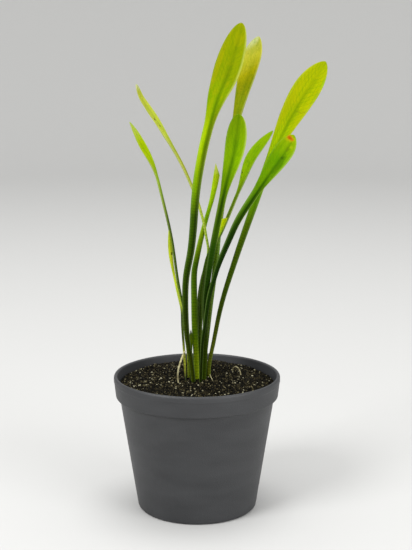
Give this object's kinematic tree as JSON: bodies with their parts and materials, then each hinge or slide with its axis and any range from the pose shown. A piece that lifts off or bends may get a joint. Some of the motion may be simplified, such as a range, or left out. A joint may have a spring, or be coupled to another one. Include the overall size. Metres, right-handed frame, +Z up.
{
  "type": "potted dwarf sagittaria",
  "caption": "Low aquarium plant with long-stalked, spoon-shaped leaves rising from dark sand in a plain round pot.",
  "frame": {"origin": "centre of the pot's flat underside, on the pot's axis", "axes": "+Z up along the pot's axis, -Y towards the pictured front, +X to its right"},
  "size_m": [0.0767, 0.061, 0.1758],
  "materials": {
    "pot": "matte",
    "sand": "matte",
    "rootstock": "matte",
    "leaf_yellow": "satin",
    "leaf_green": "satin",
    "leaf_pale": "satin",
    "root": "matte"
  },
  "bodies": {
    "root": {"pot": "pot", "sand": "sand", "rootstock": "rootstock", "leaf_tall_front": "leaf_yellow", "leaf_pale_back": "leaf_pale", "leaf_centre_front": "leaf_green", "leaf_slim_right": "leaf_green", "leaf_broad_right": "leaf_yellow", "leaf_folded_right": "leaf_green", "leaf_curved_left": "leaf_green", "leaf_thin_left": "leaf_pale", "leaf_torn_centre": "leaf_green", "leaf_cut_stub": "leaf_yellow", "leaf_narrow_left": "leaf_yellow", "leaf_new_shoot": "leaf_green", "root_left": "root", "root_right": "root", "root_loop": "root"}
  },
  "joints": []
}
